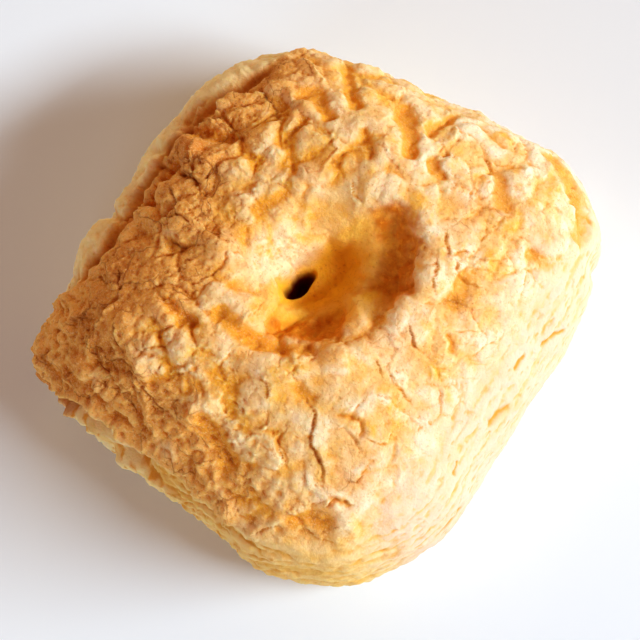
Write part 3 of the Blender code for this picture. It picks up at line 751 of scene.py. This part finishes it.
# Colours of the dimple: painted light on its pale slope, painted shade in amber where the rim's shadow
# falls, browning and painted shade on its steep wall, and painted shade in the pricked hole.
LIT_SLOPE_CREAM = "#fdecc4"
RIM_SHADOW_AMBER = "#ffc22c"
WALL_GOLD = "#f4a42c"
WALL_BROWN_AND_SHADE = "#d87800"
PRICKED_SHADE = "#8a2c0c"
# Colours of the sides: cream, golden where layers and pores are sunk, which is painted shade, brown in
# the crevices, which is painted shade, and a paler cream of painted light on the side the light comes
# from.
SIDE_CREAM = "#fbe2aa"
LIT_SIDE_CREAM = "#f0d2b3"
SIDE_GOLD = "#f3c066"
PORE_SHADE_GOLD = "#e4a03c"
CREVICE_SHADE = "#c8741a"

BEND_SIZE, BEND = 2.5, 2.4      # of the push that makes the veins wander, in millimetres
VEIN_SPACING = 5.0              # between hairline cracks, in millimetres
VEIN_SHARE, VEIN_DEPTH = 0.5, 0.7       # how much the veins colour and how deep they cut
GRIT_DEPTH = 0.3                # of the grain that is left to the bump, in millimetres
GLOW_DEPTH = 2.5                # how far light goes into the dough, in millimetres

# Noise in the dough: the size of its lumps in millimetres, detail, roughness.  Flour and scorched
# crumbs are finer than the picture can show, so the smallest specks are drawn 0.3 mm across.
SPECKLES = {
    "flour_specks": (0.3, 3.0, 0.7),
    "scorched_specks": (0.5, 3.0, 0.7),
    "golden_patches": (4.0, 2.0, 0.55),
    "lit_cream_patches": (5.0, 4.0, 0.6),
    "slope_patches": (3.0, 3.0, 0.55),
    "wall_crumbs": (0.9, 3.0, 0.7),
    "vein_patches": (5.0, 2.0, 0.55),
    "grit": (0.45, 4.0, 0.65),
}
# How much of each look shows: what it is read from, where it begins there and where it is full,
# and its share at both.  Of what is noted on the mesh, crest and swell are millimetres above the
# close and the wide surroundings, toast is how brown it is, and the others are shares.
SHARES = {
    "flour_specks": ("flour_specks", 0.48, 0.7, 0.0, 0.5),
    "more_where_brown": ("toast_light_and_shade", 0.1, 0.9, 0.8, 1.1),
    "less_in_rim_shadow": ("rim_shadow", 0.1, 0.5, 1.0, 0.1),
    "none_on_wall": ("bay", 0.1, 0.6, 1.0, 0.0),
    "scorched_specks": ("scorched_specks", 0.46, 0.3, 0.0, 0.5),
    "scorched": ("toast_light_and_shade", 0.3, 0.8, 0.0, 1.0),
    "golden_patches": ("golden_patches", 0.42, 0.6, 0.0, 1.0),
    "valley": ("swell", 0.08, -0.3, 0.0, 0.9),
    "floury_highlight": ("crest", 0.02, 0.25, 0.0, 0.45),
    "lit_cream_patches": ("lit_cream_patches", 0.36, 0.6, 0.0, 1.0),
    "paler_on_lit_side": ("painted_lit_side", 0.0, 1.0, 0.4, 0.9),
    "lit_on_raised": ("swell", -0.2, 0.1, 0.0, 1.0),
    "tan_crest_highlight": ("crest", 0.0, 0.3, 0.0, 0.3),
    "deep_brown": ("toast_light_and_shade", 0.9, 1.5, 0.0, 0.85),
    "brown_valley": ("swell", 0.0, -0.5, 0.0, 0.5),
    "toasted": ("toast_light_and_shade", 0.05, 0.85, 0.0, 1.0),
    "opened": ("opened", 0.15, 0.9, 0.0, 0.75),
    "crease": ("crest", -0.04, -0.25, 0.0, 0.7),
    "brown_crease": ("toast_light_and_shade", 0.1, 0.6, 0.0, 1.0),
    "pressed": ("pressed", 0.1, 0.7, 0.0, 0.55),
    "slope_patches": ("slope_patches", 0.48, 0.66, 0.0, 1.0),
    "wall_crumbs": ("wall_crumbs", 0.5, 0.64, 0.0, 0.6),
    "sunk_ledge_shade": ("crest", 0.0, -0.12, 0.0, 0.7),
    "deep_pore_shade": ("crest", -0.08, -0.25, 0.0, 0.8),
    "open_side": ("shut", 0.0, 1.0, 1.0, 0.25),
    "brown_crack": ("toast_light_and_shade", 0.2, 0.7, 0.0, 1.0),
    "vein": ("vein", 0.03, 0.008, 0.0, 1.0),
    "vein_patches": ("vein_patches", 0.44, 0.56, 0.0, 1.0),
    "none_in_hollow": ("pressed", 0.5, 0.1, 0.0, 1.0),
    "more_veins_where_brown": ("toast_light_and_shade", 0.2, 0.75, 0.12, 0.9),
    "pricked": ("pricked", 0.0, 0.6, 0.0, 1.0),
}
# How strongly a look that is noted on the mesh covers what lies under it.
STRENGTHS = {
    "painted_lit_side": 0.6,
    "painted_lit_slope": 0.85,
    "rim_shadow": 0.85,
    "bay": 0.95,
    "crevice": 0.95,
    "crack": 0.8,
}
baked = bpy.data.materials.new("baked_wheat_dough")
baked.use_nodes = True
baked.node_tree.nodes.clear()


def linear(shade):
    """A linear colour from an sRGB hex value."""
    parts = [int(shade[k:k + 2], 16) / 255 for k in (1, 3, 5)]
    return [p / 12.92 if p <= 0.04045 else ((p + 0.055) / 1.055) ** 2.4 for p in parts] + [1.0]


def add_node(kind, sockets, **settings):
    """Adds a node to the dough.  A socket takes a value, a hex colour or another node's output."""
    node = baked.node_tree.nodes.new(kind)
    for name, setting in settings.items():
        setattr(node, name, setting)
    for socket, given in sockets.items():
        if isinstance(given, bpy.types.NodeSocket):
            baked.node_tree.links.new(given, node.inputs[socket])
        else:
            node.inputs[socket].default_value = linear(given) if isinstance(given, str) else given
    return node


def where_all(share, *others):
    """How much shows where several shares meet."""
    for other in others:
        share = add_node("ShaderNodeMath", {0: share, 1: other}, operation="MULTIPLY").outputs[0]
    return share


def layered(colour, *layers):
    """Lays colours over the first one, each with its share from 0 to 1."""
    for share, over in layers:
        sockets = {0: share, 6: colour, 7: over}
        colour = add_node("ShaderNodeMix", sockets, data_type="RGBA").outputs[2]
    return colour


where = add_node("ShaderNodeTexCoord", {}).outputs["Object"]
seen = {}
for attribute in dough.data.attributes:
    if attribute.data_type == "FLOAT":
        looked_up = add_node("ShaderNodeAttribute", {}, attribute_name=attribute.name)
        seen[attribute.name] = looked_up.outputs["Fac"]
for name, (size, detail, roughness) in SPECKLES.items():
    sockets = {"Scale": 1 / (size * MM), "Detail": detail, "Roughness": roughness, "Vector": where}
    seen[name] = add_node("ShaderNodeTexNoise", sockets).outputs["Fac"]
sockets = {"Scale": 1 / (BEND_SIZE * MM), "Detail": 3.0, "Vector": where}
push = add_node("ShaderNodeTexNoise", sockets).outputs["Color"]
sockets = {0: push, 1: [BEND * MM] * 3, 2: where}
bent = add_node("ShaderNodeVectorMath", sockets, operation="MULTIPLY_ADD").outputs[0]
sockets = {"Scale": 1 / (VEIN_SPACING * MM), "Vector": bent}
veins = add_node("ShaderNodeTexVoronoi", sockets, feature="DISTANCE_TO_EDGE")
seen["vein"] = veins.outputs["Distance"]
shown = {}
for name, (source, begins, full, least, most) in SHARES.items():
    sockets = {0: seen[source], 1: begins, 2: full, 3: least, 4: most}
    shown[name] = add_node("ShaderNodeMapRange", sockets, interpolation_type="SMOOTHSTEP").outputs[0]
cover = {name: where_all(seen[name], share) for name, share in STRENGTHS.items()}

# The crust where it is tan, where it is brown, and both together, with painted shade in its valleys
# and creases and painted light on its raised places.
valley = layered(GOLDEN_VALLEY_SHADE, (cover["painted_lit_side"], LIT_SIDE_VALLEY))
# Painted light: cream on raised places, more on the side the light comes from.
lit_cream = where_all(shown["lit_cream_patches"], shown["paler_on_lit_side"], shown["lit_on_raised"])
# Partly flour, partly painted highlight, on the crests.
tan = layered(PUFF_TAN,
              (shown["golden_patches"], GOLDEN_PUFF),
              (shown["valley"], valley),
              (shown["floury_highlight"], FLOUR_AND_HIGHLIGHT),
              (lit_cream, LIT_CREAM))
brown = layered(TOASTED,
                (shown["tan_crest_highlight"], PUFF_TAN),
                (shown["deep_brown"], DEEP_BROWN),
                (shown["brown_valley"], CREASE_SHADE))
flour_specks = where_all(shown["flour_specks"], shown["more_where_brown"],
                         shown["less_in_rim_shadow"], shown["none_on_wall"])
crust_colour = layered(tan,
                       (shown["toasted"], brown),
                       (shown["opened"], TORN_AMBER),
                       (shown["crease"], layered(SOFT_CREASE_SHADE, (shown["brown_crease"], CREASE_SHADE))),
                       (shown["pressed"], GOLDEN_PUFF),
                       (cover["painted_lit_slope"], layered(LIT_SLOPE_CREAM, (shown["slope_patches"], GOLDEN_PUFF))),
                       (cover["rim_shadow"], RIM_SHADOW_AMBER),
                       (cover["bay"], layered(WALL_BROWN_AND_SHADE, (shown["wall_crumbs"], WALL_GOLD))),
                       (flour_specks, GRAIN_CREAM),
                       (shown["scorched_specks"],
                        layered(GRAIN_GOLD, (shown["scorched"], SCORCHED))))
# The pale sides, then the whole with painted shade in its crevices and the pricked hole, its cracks,
# partly painted shade, and its hairline cracks.
side_colour = layered(SIDE_CREAM,
                      (seen["painted_lit_side"], LIT_SIDE_CREAM),
                      (seen["gold"], SIDE_GOLD),
                      (where_all(shown["sunk_ledge_shade"], shown["open_side"]), SIDE_GOLD),
                      (where_all(shown["deep_pore_shade"], shown["open_side"]), PORE_SHADE_GOLD),
                      (seen["pore"], PORE_SHADE_GOLD))
crack_colour = layered(CRACK_GOLD, (shown["brown_crack"], CRACK_BROWN))
vein = where_all(shown["vein"], shown["vein_patches"])
vein = where_all(vein, seen["browned"], shown["none_in_hollow"], shown["more_veins_where_brown"])
colour = layered(side_colour,
                 (seen["browned"], crust_colour),
                 (cover["crevice"], CREVICE_SHADE),
                 (cover["crack"], crack_colour),
                 (where_all(vein, VEIN_SHARE), crack_colour),
                 (shown["pricked"], PRICKED_SHADE))
height = {0: seen["grit"], 1: where_all(vein, VEIN_DEPTH)}
height = add_node("ShaderNodeMath", height, operation="SUBTRACT").outputs[0]
grit = add_node("ShaderNodeBump", {"Strength": 0.9, "Distance": GRIT_DEPTH * MM, "Height": height})
shader = add_node("ShaderNodeBsdfPrincipled", {
    "Base Color": colour,
    "Normal": grit.outputs[0],
    "Roughness": 0.75,
    "Specular IOR Level": 0.15,
    "Subsurface Weight": 0.45,
    "Subsurface Scale": GLOW_DEPTH * MM,
    "Subsurface Radius": (1.0, 0.6, 0.3),
})
add_node("ShaderNodeOutputMaterial", {"Surface": shader.outputs[0]})
dough.data.materials.append(baked)
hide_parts("biscuit")
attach(dough, "root")

# ==================================================================== the floor
# A plain pale floor, painted matt and wide enough to fill the view.  It isn't part of the object.
FLOOR_HALF = 3.0
FLOOR_PAINT = "#eaf0f3"
floor_bm = bmesh.new()
bmesh.ops.create_grid(floor_bm, x_segments=1, y_segments=1, size=FLOOR_HALF)
floor_mesh = bpy.data.meshes.new("floor")
floor_bm.to_mesh(floor_mesh)
floor_bm.free()
floor = bpy.data.objects.new("floor", floor_mesh)
bpy.context.scene.collection.objects.link(floor)
paint = bpy.data.materials.new("pale_floor_paint")
paint.use_nodes = True
paint_sockets = paint.node_tree.nodes["Principled BSDF"].inputs
paint_sockets["Base Color"].default_value = linear(FLOOR_PAINT)
paint_sockets["Roughness"].default_value = 0.6
floor_mesh.materials.append(paint)

# ==================================================================== the light
# Three soft lights like windows: a long one at the picture's right, which throws the soft-edged
# shadow, and two faint ones on the far side.  Warm light from all round fills the shadow.
PICTURE_TURN = 36.0             # the picture's right is at this angle anticlockwise from +X
ROOM_GLOW = "#ffb67c"
ROOM_STRENGTH = 0.31
PICTURE_GAMMA = 0.88


def soft_light(name, picture_angle, elevation, tilt, size, power, shade, distance=1.5):
    """A rectangular light.  Its angle is in the picture's plane, anticlockwise from the right."""
    turn, up = math.radians(picture_angle + PICTURE_TURN), math.radians(elevation)
    way = Vector((math.cos(turn) * math.cos(up), math.sin(turn) * math.cos(up), math.sin(up)))
    light = bpy.data.lights.new(name, "AREA")
    light.shape = "RECTANGLE"
    light.size, light.size_y = size
    light.energy = power
    light.color = linear(shade)[:3]
    lamp = bpy.data.objects.new(name, light)
    lamp.location = way * distance
    turned = way.to_track_quat("Z", "Y") @ Quaternion((0, 0, 1), math.radians(tilt))
    lamp.rotation_euler = turned.to_euler()
    bpy.context.scene.collection.objects.link(lamp)


soft_light("long_window", picture_angle=-7, elevation=35, tilt=-39, size=(1.0, 0.33),
           power=33.6, shade="#e2f2ff")
soft_light("far_window", picture_angle=-126, elevation=25, tilt=0, size=(1.0, 0.6),
           power=9.0, shade="#ceeaff")
soft_light("low_window", picture_angle=104, elevation=13, tilt=0, size=(1.0, 0.4),
           power=6.2, shade="#ffecc4")
world = bpy.data.worlds.new("room")
world.use_nodes = True
world.node_tree.nodes["Background"].inputs[0].default_value = linear(ROOM_GLOW)
world.node_tree.nodes["Background"].inputs[1].default_value = ROOM_STRENGTH
bpy.context.scene.world = world
bpy.context.scene.view_settings.view_transform = "Standard"
bpy.context.scene.view_settings.gamma = PICTURE_GAMMA

# ==================================================================== the camera
# Nearly overhead, close to the biscuit, turned so that one corner points left.  It aims at the
# middle of the biscuit, about half-way up.
AZIMUTH, ELEVATION, ROLL = (math.radians(angle) for angle in (60.0, 79.0, -24.0))
DISTANCE = 0.450
AIM = Vector((2.9, -3.2, 20.0)) * MM
PICTURE_WIDTH = 640             # in pixels
PIXELS_PER_METRE = 6930.0       # at the aim
SENSOR_WIDTH = 36.0
back = Vector((math.sin(AZIMUTH) * math.cos(ELEVATION), -math.cos(AZIMUTH) * math.cos(ELEVATION),
               math.sin(ELEVATION)))
level = Vector((math.cos(AZIMUTH), math.sin(AZIMUTH), 0))
upward = back.cross(level)
right = level * math.cos(ROLL) + upward * math.sin(ROLL)
up = upward * math.cos(ROLL) - level * math.sin(ROLL)
camera = bpy.data.objects.new("camera", bpy.data.cameras.new("camera"))
camera.data.sensor_width = SENSOR_WIDTH
camera.data.lens = SENSOR_WIDTH * PIXELS_PER_METRE * DISTANCE / PICTURE_WIDTH
turned = Matrix((right, up, back)).transposed().to_4x4()
camera.matrix_world = Matrix.Translation(AIM + back * DISTANCE) @ turned
bpy.context.scene.collection.objects.link(camera)
bpy.context.scene.camera = camera
